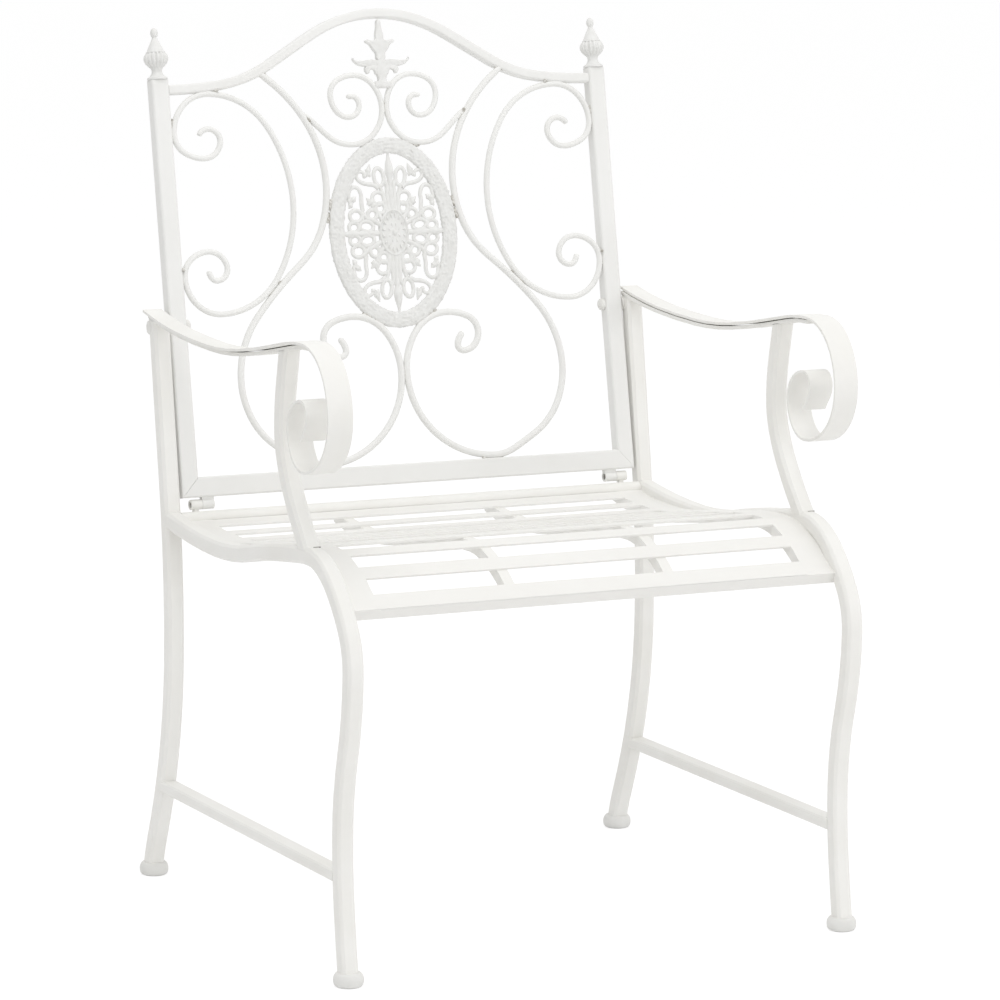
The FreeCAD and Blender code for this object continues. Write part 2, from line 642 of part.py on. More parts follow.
back_knuckle = tube_at(knuckle_inner, back_end, barrel_r, pin_r + HINGE_RUN)
saddle = block(knuckle_inner, back_end, HINGE_SETBACK - pin_r, HINGE_SETBACK + pin_r, hinge_s + pin_r + 1, 0)
back_knuckle = back_knuckle.fuse(lean(saddle)).removeSplitter()
seat_knuckle = tube_at(knuckle_join, knuckle_outer, barrel_r, pin_r)
lug_x = (knuckle_join + knuckle_outer - LUG_WIDTH) / 2
rail_r = REAR_RAIL_DIAMETER / 2
lug = block(lug_x, lug_x + LUG_WIDTH, hinge.y - pin_r, hinge.y + pin_r, REAR_RAIL_Z,
            hinge.z - (barrel_r + pin_r) / 2)
strap = block(lug_x, lug_x + LUG_WIDTH, REAR_RAIL_Y - rail_r - STRAP_PROUD, hinge.y, REAR_RAIL_Z,
              REAR_RAIL_Z + rail_r)
seat_knuckle = seat_knuckle.fuse(lug).fuse(strap).cut(rear_rail).cut(seat_rail)
seat_knuckle = main_solid(seat_knuckle.removeSplitter())
pin = Part.makeCylinder(pin_r, knuckle_outer - knuckle_inner - 2 * PIN_RECESS,
                        Vector(knuckle_inner + PIN_RECESS, hinge.y, hinge.z), ACROSS)
nodes["back_knuckles"] = both(back_knuckle)
nodes["seat_knuckles"] = both(seat_knuckle)
nodes["hinge_pins"] = both(pin)

# Bolt through the top of the rear leg, which holds the back upright.
bolt_r = BOLT_DIAMETER / 2
bolt_gap = BACK_GAP - PLAY
base = Vector(BACK_HALF + PLAY, bolt_at.y, bolt_at.z)
hole = turned([(bolt_r, 0), (bolt_r, bolt_gap + TUBE)], base, TURNED_SIDES, ACROSS)
pair("rear_leg", rear_leg.cut(hole))
bolt = turned([
    (bolt_r + 4, 0), (bolt_r + 4, bolt_gap), (bolt_r, bolt_gap), (bolt_r, bolt_gap + TUBE),
    (bolt_r + 3.5, bolt_gap + TUBE), (bolt_r + 3.5, bolt_gap + TUBE + 1.5),
    (bolt_r + 1, bolt_gap + TUBE + 4)], base, TURNED_SIDES, ACROSS)
nodes["back_bolts"] = both(bolt)
nut_r = NUT_DIAMETER / 2
cap_nut = turned([(nut_r, 0), (nut_r, NUT_HEIGHT - 2.5), (nut_r - 2, NUT_HEIGHT - 1), (1.5, NUT_HEIGHT)],
                 Vector(POST_IN, BACK_DEPTH / 2, BACK_BOLT_S), TURNED_SIDES, -ACROSS)
nodes["cap_nuts"] = both(lean(cap_nut))

# The origin is on the floor under the middle of the chair's outer box.
box = FreeCAD.BoundBox()
for shape in nodes.values():
    box.add(shape.optimalBoundingBox(False))
middle_y = (box.YMin + box.YMax) / 2
os.makedirs("parts", exist_ok=True)
for name, shape in nodes.items():
    moved = shape.copy()
    moved.translate(Vector(0, -middle_y, 0))
    moved.exportStep("parts/%s.step" % name)
print("middle_y", round(middle_y, 3), "box", box)
print("hinge", round(hinge.y - middle_y, 3), round(hinge.z, 3))
print("nodes", len(nodes))
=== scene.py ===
import json
import math
import bpy
from mathutils import Matrix, Vector


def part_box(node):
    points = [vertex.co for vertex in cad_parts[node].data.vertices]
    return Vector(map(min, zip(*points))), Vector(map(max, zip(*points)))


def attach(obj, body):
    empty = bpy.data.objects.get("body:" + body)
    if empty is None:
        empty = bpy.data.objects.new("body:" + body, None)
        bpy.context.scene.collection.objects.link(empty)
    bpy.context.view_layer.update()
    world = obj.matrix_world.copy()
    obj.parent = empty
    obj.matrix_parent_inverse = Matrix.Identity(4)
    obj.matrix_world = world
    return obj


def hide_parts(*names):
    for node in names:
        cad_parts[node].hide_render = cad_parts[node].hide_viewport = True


# Garden armchair in off-white painted steel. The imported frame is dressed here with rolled
# edges, cast ornament, welds and paint. Sizes are in metres unless a note says otherwise.
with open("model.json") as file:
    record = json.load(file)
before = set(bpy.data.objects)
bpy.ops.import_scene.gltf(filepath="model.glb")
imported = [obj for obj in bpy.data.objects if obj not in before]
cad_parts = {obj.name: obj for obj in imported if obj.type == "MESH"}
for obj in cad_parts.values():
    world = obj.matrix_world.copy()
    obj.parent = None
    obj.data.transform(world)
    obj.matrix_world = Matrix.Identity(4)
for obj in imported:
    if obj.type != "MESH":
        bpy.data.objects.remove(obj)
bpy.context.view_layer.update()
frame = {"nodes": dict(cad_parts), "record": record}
nodes = frame["nodes"]
record = frame["record"]
bodyOf = {node: body for body, members in record["behaviour"]["bodies"].items() for node in members}
mm = 0.001
mergeDistance = 0.02 * mm
onFace = 0.1 * mm                           # a point this near a face counts as on it
anyOutline = 3.1                            # radians: triangles of any outline may pair up
ballSteps = {"segments": 12, "ring_count": 8}
print("frame loaded:", len(nodes), "pieces")


def nodesWith(*words):
    return [node for node in nodes if any(word in node for word in words)]


sideNames = ("left_", "right_")
seatNames = nodesWith("slat", "seat_rail", "seat_front_rail")
tubeNames = nodesWith("side_rail", "arm_post", "rear_leg")
thinNames = nodesWith("armrest", "arm_bar")
fastenerNames = ("cap_nuts", "back_bolts", "seat_nuts", "hinge_pins")
ornamentNames = nodesWith("rod", "scroll", "medallion", "fleur", "finials", "foot_caps")
barNames = [node for node in nodes if node not in (*seatNames, *fastenerNames, *ornamentNames)]


def deselectAll():
    if bpy.context.object and bpy.context.object.mode != "OBJECT":
        bpy.ops.object.mode_set(mode="OBJECT")
    bpy.ops.object.select_all(action="DESELECT")


def makeActive(piece):
    deselectAll()
    piece.select_set(True)
    bpy.context.view_layer.objects.active = piece


def added(primitive, **sizes):
    deselectAll()
    primitive(**sizes)
    return bpy.context.object


def applyModifiers(piece):
    makeActive(piece)
    for modifier in list(piece.modifiers):
        bpy.ops.object.modifier_apply(modifier=modifier.name)


def settle(piece):
    # place, turn and scale go into the mesh
    makeActive(piece)
    bpy.ops.object.transform_apply(location=True, rotation=True, scale=True)


def put(piece, place, turn=(0, 0, 0)):
    piece.rotation_euler = turn
    piece.location = place
    settle(piece)
    return piece


def editAll(piece):
    makeActive(piece)
    bpy.ops.object.mode_set(mode="EDIT")
    bpy.ops.mesh.select_mode(type="VERT")
    bpy.ops.mesh.select_all(action="SELECT")


def leaveEdit():
    bpy.ops.object.mode_set(mode="OBJECT")


def pick(piece, wanted):
    # edit mode with just the vertices that the test names
    makeActive(piece)
    bpy.context.tool_settings.mesh_select_mode = (True, False, False)
    for polygon in piece.data.polygons:
        polygon.select = False
    for edge in piece.data.edges:
        edge.select = False
    for vertex in piece.data.vertices:
        vertex.select = wanted(vertex)
    bpy.ops.object.mode_set(mode="EDIT")


def facesOut(piece):
    editAll(piece)
    bpy.ops.mesh.remove_doubles(threshold=mergeDistance / 2)
    bpy.ops.mesh.normals_make_consistent(inside=False)
    leaveEdit()


def bevelEdges(piece, width, fromAngle, segments=2):
    edge = piece.modifiers.new("edge", "BEVEL")
    edge.width = width
    edge.segments = segments
    edge.limit_method = "ANGLE"
    edge.angle_limit = math.radians(fromAngle)
    applyModifiers(piece)


def smooth(piece, angle):
    makeActive(piece)
    bpy.ops.object.shade_smooth_by_angle(angle=math.radians(angle), keep_sharp_edges=False)


def keepFlats(piece):
    # broad faces keep their own normal, and the rolled edges take the turn
    even = piece.modifiers.new("even", "WEIGHTED_NORMAL")
    even.keep_sharp = True
    applyModifiers(piece)


def joined(pieces, name):
    deselectAll()
    for piece in pieces:
        piece.select_set(True)
    bpy.context.view_layer.objects.active = pieces[0]
    bpy.ops.object.join()
    whole = bpy.context.object
    whole.name = name
    return whole


def copyOf(piece, name):
    twin = bpy.data.objects.new(name, piece.data.copy())
    bpy.context.scene.collection.objects.link(twin)
    return twin


def mergedCopy(node, name, fold=0.02):
    # a copy of a CAD node: its triangles pair up into quads where they fold by less than
    # this, in radians, or stay as they are where it is None
    piece = copyOf(nodes[node], name)
    makeActive(piece)
    bpy.ops.mesh.customdata_custom_splitnormals_clear()
    editAll(piece)
    bpy.ops.mesh.remove_doubles(threshold=mergeDistance)
    if fold:
        bpy.ops.mesh.tris_convert_to_quads(face_threshold=fold, shape_threshold=anyOutline)
    bpy.ops.mesh.normals_make_consistent(inside=False)
    leaveEdit()
    return piece


shownPiece = {}                             # what each CAD node is drawn as


def finished(piece, body, material, *replaced):
    piece.data.materials.clear()
    piece.data.materials.append(material)
    for polygon in piece.data.polygons:
        polygon.material_index = 0
    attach(piece, body)
    for node in replaced:
        shownPiece[node] = piece
    if replaced:
        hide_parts(*replaced)
    return piece


# Paint: a sprayed coat with a fine orange peel, dust pips under it and a faint change of
# tone from one patch to the next. Ranges are of the noise's and the cells' own values.
coat = {"patchDetail": 4, "patchRange": (0.35, 0.65), "peelDetail": 2, "peelDulls": 0.12,
        "pipScale": 120, "pipRange": (0.16, 0.05), "relief": 0.4 * mm}


def noiseNode(made, detail):
    noise = made.new("ShaderNodeTexNoise")
    noise.inputs["Detail"].default_value = detail
    return noise


def rangeNode(made, limits):
    spread = made.new("ShaderNodeMapRange")
    spread.inputs["From Min"].default_value = limits[0]
    spread.inputs["From Max"].default_value = limits[1]
    return spread


def mathNode(made, operation):
    sums = made.new("ShaderNodeMath")
    sums.operation = operation
    return sums


def addSockets(group, way, sockets):
    for name, kind in sockets.items():
        group.interface.new_socket(name=name, in_out=way, socket_type="NodeSocket" + kind)


def buildPaintSkin():
    group = bpy.data.node_groups.new("paintSkin", "ShaderNodeTree")
    addSockets(group, "INPUT", {"Paint": "Color", "Shade": "Color", "Patch Size": "Float",
                                "Peel Size": "Float", "Peel Depth": "Float",
                                "Roughness": "Float", "Pips": "Float"})
    addSockets(group, "OUTPUT", {"Colour": "Color", "Roughness": "Float", "Height": "Float"})
    made, wire = group.nodes, group.links
    given, out = made.new("NodeGroupInput"), made.new("NodeGroupOutput")
    place = made.new("ShaderNodeTexCoord")

    patches = noiseNode(made, coat["patchDetail"])
    wire.new(place.outputs["Object"], patches.inputs["Vector"])
    wire.new(given.outputs["Patch Size"], patches.inputs["Scale"])
    spread = rangeNode(made, coat["patchRange"])
    wire.new(patches.outputs["Fac"], spread.inputs["Value"])
    tone = made.new("ShaderNodeMix")
    tone.data_type = "RGBA"                 # its colour sockets are inputs 6 and 7, output 2
    wire.new(spread.outputs["Result"], tone.inputs[0])
    wire.new(given.outputs["Paint"], tone.inputs[6])
    wire.new(given.outputs["Shade"], tone.inputs[7])
    wire.new(tone.outputs[2], out.inputs["Colour"])

    peel = noiseNode(made, coat["peelDetail"])
    wire.new(place.outputs["Object"], peel.inputs["Vector"])
    wire.new(given.outputs["Peel Size"], peel.inputs["Scale"])
    pips = made.new("ShaderNodeTexVoronoi")
    pips.inputs["Scale"].default_value = coat["pipScale"]
    wire.new(place.outputs["Object"], pips.inputs["Vector"])
    pipEdge = rangeNode(made, coat["pipRange"])
    wire.new(pips.outputs["Distance"], pipEdge.inputs["Value"])
    pipHeight = mathNode(made, "MULTIPLY")
    wire.new(pipEdge.outputs["Result"], pipHeight.inputs[0])
    wire.new(given.outputs["Pips"], pipHeight.inputs[1])
    height = mathNode(made, "MULTIPLY_ADD")
    wire.new(peel.outputs["Fac"], height.inputs[0])
    wire.new(given.outputs["Peel Depth"], height.inputs[1])
    wire.new(pipHeight.outputs[0], height.inputs[2])
    wire.new(height.outputs[0], out.inputs["Height"])

    dull = mathNode(made, "MULTIPLY_ADD")
    dull.inputs[1].default_value = coat["peelDulls"]
    wire.new(peel.outputs["Fac"], dull.inputs[0])
    wire.new(given.outputs["Roughness"], dull.inputs[2])
    wire.new(dull.outputs[0], out.inputs["Roughness"])
    return group


paintSkin = buildPaintSkin()


def paintMaterial(name, look):
    material = bpy.data.materials.new(name)
    material.use_nodes = True
    made, wire = material.node_tree.nodes, material.node_tree.links
    shader = made["Principled BSDF"]
    skin = made.new("ShaderNodeGroup")
    skin.node_tree = paintSkin
    skin.inputs["Paint"].default_value = (*look["paint"], 1)
    skin.inputs["Shade"].default_value = (*look["shade"], 1)
    for socket, key in (("Patch Size", "patchSize"), ("Peel Size", "peelSize"),
                        ("Peel Depth", "peelDepth"), ("Roughness", "roughness"), ("Pips", "pips")):
        skin.inputs[socket].default_value = look[key]
    bump = made.new("ShaderNodeBump")
    bump.inputs["Strength"].default_value = look["bump"]
    bump.inputs["Distance"].default_value = coat["relief"]
    wire.new(skin.outputs["Colour"], shader.inputs["Base Color"])
    wire.new(skin.outputs["Roughness"], shader.inputs["Roughness"])
    wire.new(skin.outputs["Height"], bump.inputs["Height"])
    wire.new(bump.outputs["Normal"], shader.inputs["Normal"])
    shader.inputs["Specular IOR Level"].default_value = look["specular"]
    return material


framePaint = paintMaterial("framePaint", {
    "paint": (0.865, 0.858, 0.83), "shade": (0.835, 0.825, 0.79), "patchSize": 14,
    "peelSize": 620, "peelDepth": 0.4, "pips": 0.04, "bump": 0.12,
    "roughness": 0.46, "specular": 0.35})
seatPaint = paintMaterial("seatPaint", {
    "paint": (0.855, 0.848, 0.82), "shade": (0.835, 0.825, 0.795), "patchSize": 14,
    "peelSize": 300, "peelDepth": 0.4, "pips": 0.0, "bump": 0.03,
    "roughness": 0.5, "specular": 0.25})
backPaint = paintMaterial("backPaint", {
    "paint": (0.835, 0.833, 0.815), "shade": (0.81, 0.806, 0.785), "patchSize": 14,
    "peelSize": 300, "peelDepth": 0.4, "pips": 0.0, "bump": 0.03,
    "roughness": 0.48, "specular": 0.3})
castPaint = paintMaterial("castPaint", {
    "paint": (0.815, 0.814, 0.798), "shade": (0.775, 0.772, 0.752), "patchSize": 160,
    "peelSize": 900, "peelDepth": 0.9, "pips": 0.3, "bump": 0.8,
    "roughness": 0.52, "specular": 0.3})
# Weld paint: its dark second colour, laid on in patches, is painted shade for the gaps at the
# joints.
weldPaintAndShade = paintMaterial("weldPaintAndShade", {
    "paint": (0.80, 0.79, 0.755), "shade": (0.38, 0.36, 0.32), "patchSize": 260,
    "peelSize": 520, "peelDepth": 1.0, "pips": 1.0, "bump": 0.8,
    "roughness": 0.55, "specular": 0.3})
capPlastic = paintMaterial("capPlastic", {
    "paint": (0.79, 0.785, 0.765), "shade": (0.75, 0.745, 0.72), "patchSize": 30,
    "peelSize": 1500, "peelDepth": 0.6, "pips": 0.0, "bump": 0.25,
    "roughness": 0.55, "specular": 0.4})
boltPaint = paintMaterial("boltPaint", {
    "paint": (0.83, 0.825, 0.795), "shade": (0.76, 0.75, 0.72), "patchSize": 120,
    "peelSize": 700, "peelDepth": 0.6, "pips": 0.3, "bump": 0.3,
    "roughness": 0.36, "specular": 0.5})
# Dark paint for the hinge pins; on the arm posts' feet it is painted shade.
pinAndShadePaint = paintMaterial("pinAndShadePaint", {
    "paint": (0.30, 0.29, 0.27), "shade": (0.16, 0.15, 0.13), "patchSize": 200,
    "peelSize": 700, "peelDepth": 0.8, "pips": 0.3, "bump": 0.4,
    "roughness": 0.55, "specular": 0.3})
print("paints made")


# Bars: the CAD's own shape, with its edges rolled over as drawn steel has them.
barEdges = {"tube": 1.4 * mm, "bar": 0.8 * mm, "thin": 0.4 * mm, "rollFrom": 30,
            "smoothBelow": 32, "armGap": 1 * mm}


def rollEdges(piece, width):
    bevelEdges(piece, width, barEdges["rollFrom"])
    smooth(piece, barEdges["smoothBelow"])
    keepFlats(piece)


def rolledBar(node):
    piece = mergedCopy(node, node + "_bar")
    if "arm_bar" in node:
        put(piece, (0, 0, -barEdges["armGap"]))     # the armrest isn't quite down on its bar
    kind = "tube" if node in tubeNames else "thin" if node in thinNames else "bar"
    rollEdges(piece, barEdges[kind])
    paint = backPaint if bodyOf[node] == "back" else framePaint
    return finished(piece, bodyOf[node], paint, node)


for node in barNames:
    rolledBar(node)
print("bars rolled:", len(barNames))


# Seat: rails, front rail and slats are welded and ground flush, so they become one skin.
# The side rails reach a little further out than in the CAD, over the tubes' rounded corners.
seatSkin = {"overlap": 1.5 * mm, "reach": 2.2 * mm, "railEdge": 1 * mm, "frontRoll": 3 * mm,
            "frontSteps": 4, "flatBelow": 0.6, "smoothBelow": 25}


def rolledFront(name):
    front = mergedCopy("seat_front_rail", name, fold=None)
    nose = min(vertex.co.y for vertex in front.data.vertices)
    pick(front, lambda vertex: vertex.co.y < nose + onFace)
    bpy.ops.mesh.bevel(offset=seatSkin["frontRoll"], segments=seatSkin["frontSteps"],
                       affect="EDGES")
    leaveEdit()
    return front


def uniteWith(whole, piece):
    union = whole.modifiers.new("union", "BOOLEAN")
    union.operation = "UNION"
    union.solver = "MANIFOLD"
    union.object = piece
    applyModifiers(whole)
    bpy.data.objects.remove(piece)


def weldedSeat():
    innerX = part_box("seat_front_rail")[1].x
    whole = mergedCopy(seatNames[0], "seat_welded", fold=None)
    for node in seatNames[1:]:
        if "front" in node:
            piece = rolledFront(node + "_part")
        else:
            piece = mergedCopy(node, node + "_part", fold=None)
        if "slat" in node or "front" in node:
            piece.scale = (1 + seatSkin["overlap"] / innerX, 1, 1)
            settle(piece)
        uniteWith(whole, piece)
    editAll(whole)
    bpy.ops.mesh.remove_doubles(threshold=mergeDistance)
    bpy.ops.mesh.tris_convert_to_quads(face_threshold=math.radians(seatSkin["flatBelow"]),
                                       shape_threshold=anyOutline)
    leaveEdit()
    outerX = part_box("left_seat_rail")[1].x
    for way in (1, -1):
        pick(whole, lambda vertex: vertex.co.x * way > outerX - seatSkin["railEdge"])
        bpy.ops.transform.translate(value=(way * seatSkin["reach"], 0, 0))
        leaveEdit()
    smooth(whole, seatSkin["smoothBelow"])
    keepFlats(whole)
    return whole


seat = finished(weldedSeat(), "frame", seatPaint, *seatNames)
print("seat welded:", len(seat.data.polygons), "faces")


# Rods: six flats in the CAD, drawn round here. Each kind has its size over the flats'
# corners and its size with paint. Subdividing six flats takes a sixth off their size, so
# they are made a fifth larger first.
rods = {"lyre_rod": (6 * mm, 7.3 * mm), "side_scroll": (5 * mm, 6.4 * mm),
        "crest_scroll": (5 * mm, 6.2 * mm)}
rodSkin = {"fold": 0.3, "larger": 1.2, "levels": 2, "smoothBelow": 60}


def roundRod(node, cornered, painted):
    piece = mergedCopy(node, node + "_round", rodSkin["fold"])
    editAll(piece)
    bpy.ops.transform.shrink_fatten(value=(painted * rodSkin["larger"] - cornered) / 2)
    leaveEdit()
    flats = piece.modifiers.new("flats", "SUBSURF")
    flats.levels = flats.render_levels = rodSkin["levels"]
    applyModifiers(piece)
    smooth(piece, rodSkin["smoothBelow"])
    return finished(piece, bodyOf[node], backPaint, node)


for kind, sizes in rods.items():
    for side in sideNames:
        roundRod(side + kind, *sizes)
print("rods rounded")


# Turned pieces: a disc drawn up ring by ring. A profile is (radius, height) in mm.
def turnedPiece(name, profile, around, smoothBelow=40):
    radius, height = profile[0]
    piece = added(bpy.ops.mesh.primitive_circle_add, vertices=around, radius=radius * mm,
                  fill_type="NGON")
    piece.name = name
    bpy.ops.object.mode_set(mode="EDIT")
    bpy.ops.mesh.select_all(action="SELECT")
    bpy.ops.transform.translate(value=(0, 0, height * mm))
    for nextRadius, nextHeight in profile[1:]:
        rise = (nextHeight - height) * mm
        grow = nextRadius / radius
        bpy.ops.mesh.extrude_region_move(TRANSFORM_OT_translate={"value": (0, 0, rise)})
        bpy.ops.transform.resize(value=(grow, grow, 1), center_override=(0, 0, nextHeight * mm))
        radius, height = nextRadius, nextHeight
    leaveEdit()
    facesOut(piece)
    smooth(piece, smoothBelow)
    return piece


# The back's own flat frame starts at its lower front edge, above the hinge, and leans.
backFrame = {"lean": math.radians(11.55), "hingeDepth": 6.5 * mm, "hingeBelow": 7.5 * mm,
             "height": 444.1 * mm, "postWidth": 19.5 * mm, "postDepth": 16 * mm}
hinge = Vector(record["behaviour"]["joints"][0]["pos_m"])
onBack = (math.pi / 2 - backFrame["lean"], 0, 0)    # a flat drawing, its +Y up the back
upBack = (-backFrame["lean"], 0, 0)                 # a turned piece standing on the back


def backPoint(x, up, depth):
    flat = Vector((x, depth - backFrame["hingeDepth"], up + backFrame["hingeBelow"]))
    return hinge + Matrix.Rotation(-backFrame["lean"], 4, "X") @ flat


finial = {
    "profile": [(10, 0), (10.9, 0.5), (10.9, 2.2), (9.6, 3), (7.6, 4.4), (6.2, 6.4), (5.5, 8.6),
                (5.6, 10.4), (6.6, 12.4), (9, 14.6), (11.6, 17.4), (13.2, 20.6), (13.4, 23.4),
                (12.6, 26.2), (10.8, 28.4), (10.2, 28.8), (10.2, 29.8), (9.2, 30.6), (8.6, 32),
                (7.2, 35), (5.4, 38.8), (3.8, 42.2), (2.6, 44.6), (2.6, 45.4), (3.3, 46.4),
                (3.9, 47.8), (4.1, 49.6), (3.9, 51.4), (3.3, 53), (2.3, 54.4), (1.2, 55.2),
                (0.4, 55.4)],
    "around": 48, "flute": 0.86, "fluteEvery": 3, "fluteLow": 13.5, "fluteHigh": 28.6,
    "smoothBelow": 30}


def flutedFinial():
    piece = turnedPiece("finial", finial["profile"], finial["around"])

    def inFlute(vertex):
        column = round(math.atan2(vertex.co.y, vertex.co.x) / (2 * math.pi) * finial["around"])
        inRows = finial["fluteLow"] < vertex.co.z / mm < finial["fluteHigh"]
        return inRows and column % finial["fluteEvery"] == 0

    pick(piece, inFlute)
    bpy.ops.transform.resize(value=(finial["flute"], finial["flute"], 1), center_override=(0, 0, 0))
    leaveEdit()
    smooth(piece, finial["smoothBelow"])
    return piece


finials = [flutedFinial()]
finials.append(copyOf(finials[0], "finialTwin"))
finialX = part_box("left_back_post")[1].x - backFrame["postWidth"] / 2
for piece, x in zip(finials, (finialX, -finialX)):
    put(piece, backPoint(x, backFrame["height"], backFrame["postDepth"] / 2), upBack)
finished(joined(finials, "finials_turned"), "back", castPaint, "finials")
print("finials turned")


footCap = {
    "profile": [(12.4, 0), (13.4, 0.5), (14.8, 2.4), (15.4, 4.6), (15.5, 6.8), (15.3, 9),
                (14.7, 11), (13.6, 12.6), (12.6, 13.6), (11.6, 14)],
    "around": 48}
lowCap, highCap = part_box("foot_caps")
capRadius = max(footCap["profile"])[0] * mm
caps = []
for x in (highCap.x - capRadius, lowCap.x + capRadius):
    for y in (highCap.y - capRadius, lowCap.y + capRadius):
        cap = turnedPiece("footCap", footCap["profile"], footCap["around"])
        caps.append(put(cap, (x, y, 0)))
finished(joined(caps, "foot_caps_round"), "frame", capPlastic, "foot_caps")
print("foot caps turned")


# Fasteners stay where the CAD has them and lose their hard edges. The long bolts' heads
# are pressed nearly flush with the leg.
fastener = {"edge": 0.4 * mm, "rollFrom": 40, "smoothBelow": 35, "headLeft": 0.05}


def flushHeads(piece):
    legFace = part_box("left_rear_leg")[1].x
    for way in (1, -1):
        pick(piece, lambda vertex: vertex.co.x * way > legFace + onFace)
        bpy.ops.transform.resize(value=(fastener["headLeft"], 1, 1),
                                 center_override=(way * legFace, 0, 0))
        leaveEdit()


for node in fastenerNames:
    piece = mergedCopy(node, node + "_soft")
    if node == "back_bolts":
        flushHeads(piece)
    bevelEdges(piece, fastener["edge"], fastener["rollFrom"])
    smooth(piece, fastener["smoothBelow"])
    finished(piece, bodyOf[node], pinAndShadePaint if node == "hinge_pins" else boltPaint, node)
print("fasteners softened")


# The oval ring: a flattened bar with shallow reeds along it and a pebbled skin, drawn
# straight and then bent round.
ring = {"halfWidth": 67.0 * mm, "halfHeight": 94.4 * mm, "bar": 17.2 * mm, "crown": 11 * mm,
        "flatFrom": 2.4 * mm, "flatten": 0.35, "reedEvery": 4, "reedDepth": 0.2 * mm,
        "around": 48, "along": 360, "ovalSteps": 90, "endMerge": 0.15 * mm,
        "pebble": 2.2 * mm, "pebbleRise": 2.5 * mm, "smoothBelow": 60}
ringMiddle = sum(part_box("medallion_ring"), Vector()) / 2


def drawOval():
    oval = added(bpy.ops.curve.primitive_bezier_circle_add, radius=1)
    oval.scale = (ring["halfWidth"], ring["halfHeight"], 1)
    settle(oval)
    oval.data.resolution_u = ring["ovalSteps"]
    for spot in oval.data.splines[0].bezier_points:
        spot.radius = 1                     # the scaling above also shrank these
    return oval


def drawRingSection():
    section = added(bpy.ops.mesh.primitive_circle_add, vertices=ring["around"],
                    radius=ring["bar"] / 2, rotation=(0, math.pi / 2, 0))
    settle(section)
    section.scale = (1, 1, ring["crown"] / ring["bar"])
    settle(section)
    for way in (1, -1):
        pick(section, lambda vertex: vertex.co.z * way > ring["flatFrom"])
        bpy.ops.transform.resize(value=(1, 1, ring["flatten"]),
                                 center_override=(0, 0, way * ring["flatFrom"]))
        leaveEdit()
        pick(section, lambda vertex: vertex.co.z * way > ring["flatFrom"]
             and vertex.index % ring["reedEvery"] == 0)
        bpy.ops.transform.translate(value=(0, 0, -way * ring["reedDepth"]))
        leaveEdit()
    return section


def drawRing():
    oval = drawOval()
    step = oval.data.splines[0].calc_length() / ring["along"]
    band = drawRingSection()
    editAll(band)
    bpy.ops.mesh.extrude_region_move(TRANSFORM_OT_translate={"value": (step, 0, 0)})
    leaveEdit()
    row = band.modifiers.new("row", "ARRAY")
    row.count = ring["along"]
    row.relative_offset_displace = (1, 0, 0)
    row.use_merge_vertices = True
    row.merge_threshold = step / 10
    applyModifiers(band)
    bend = band.modifiers.new("bend", "CURVE")
    bend.object = oval
    bend.deform_axis = "POS_X"
    applyModifiers(band)
    bpy.data.objects.remove(oval)
    editAll(band)
    bpy.ops.mesh.remove_doubles(threshold=ring["endMerge"])
    bpy.ops.mesh.normals_make_consistent(inside=False)
    leaveEdit()
    pebbles = bpy.data.textures.new("pebbles", "CLOUDS")
    pebbles.noise_scale = ring["pebble"]
    pebbles.noise_depth = 1
    lumps = band.modifiers.new("lumps", "DISPLACE")
    lumps.texture = pebbles
    lumps.strength = ring["pebbleRise"]
    applyModifiers(band)
    smooth(band, ring["smoothBelow"])
    return band


finished(put(drawRing(), ringMiddle, onBack), "back", castPaint, "medallion_ring")
print("ring bent round")


# Cast work is drawn flat in mm, as smooth lines through (x, y) points. A third number is
# the strip's width there, as a share of the full width.
castWork = {"stripSteps": 5, "stripRound": 2, "stripFlat": 0.8, "taper": (1.1, 0.8),
            "plateSteps": 4, "plateRound": 2, "smoothBelow": 50}


def smoothLine(name, points, steps, closedLine):
    line = added(bpy.ops.curve.primitive_bezier_curve_add)
    line.name = name
    line.data.splines.clear()
    spline = line.data.splines.new("BEZIER")
    spline.bezier_points.add(len(points) - 1)
    spline.use_cyclic_u = closedLine
    spline.resolution_u = steps
    for spot, point in zip(spline.bezier_points, points):
        spot.co = (point[0] * mm, point[1] * mm, 0)
        spot.handle_left_type = spot.handle_right_type = "AUTO"
    return line


def strip(name, points, width, ends=(1, 1), closedLine=False, flatten=castWork["stripFlat"]):
    line = smoothLine(name, points, castWork["stripSteps"], closedLine)
    last = len(points) - 1
    for index, point in enumerate(points):
        share = index / last
        even = ends[0] * (1 - share) + ends[1] * share
        line.data.splines[0].bezier_points[index].radius = point[2] if len(point) == 3 else even
    line.data.dimensions = "3D"
    line.data.bevel_depth = width * mm / 2
    line.data.bevel_resolution = castWork["stripRound"]
    line.data.use_fill_caps = not closedLine
    bpy.ops.object.convert(target="MESH")
    made = bpy.context.object
    made.scale = (1, 1, flatten)
    settle(made)
    return made


def loopPoints(x, y, halfLong, halfTall, turn, count=8):
    turned = Matrix.Rotation(math.radians(turn), 2)
    points = []
    for k in range(count):
        angle = 2 * math.pi * k / count
        spot = turned @ Vector((halfLong * math.cos(angle), halfTall * math.sin(angle)))
        points.append((x + spot.x, y + spot.y))
    return points


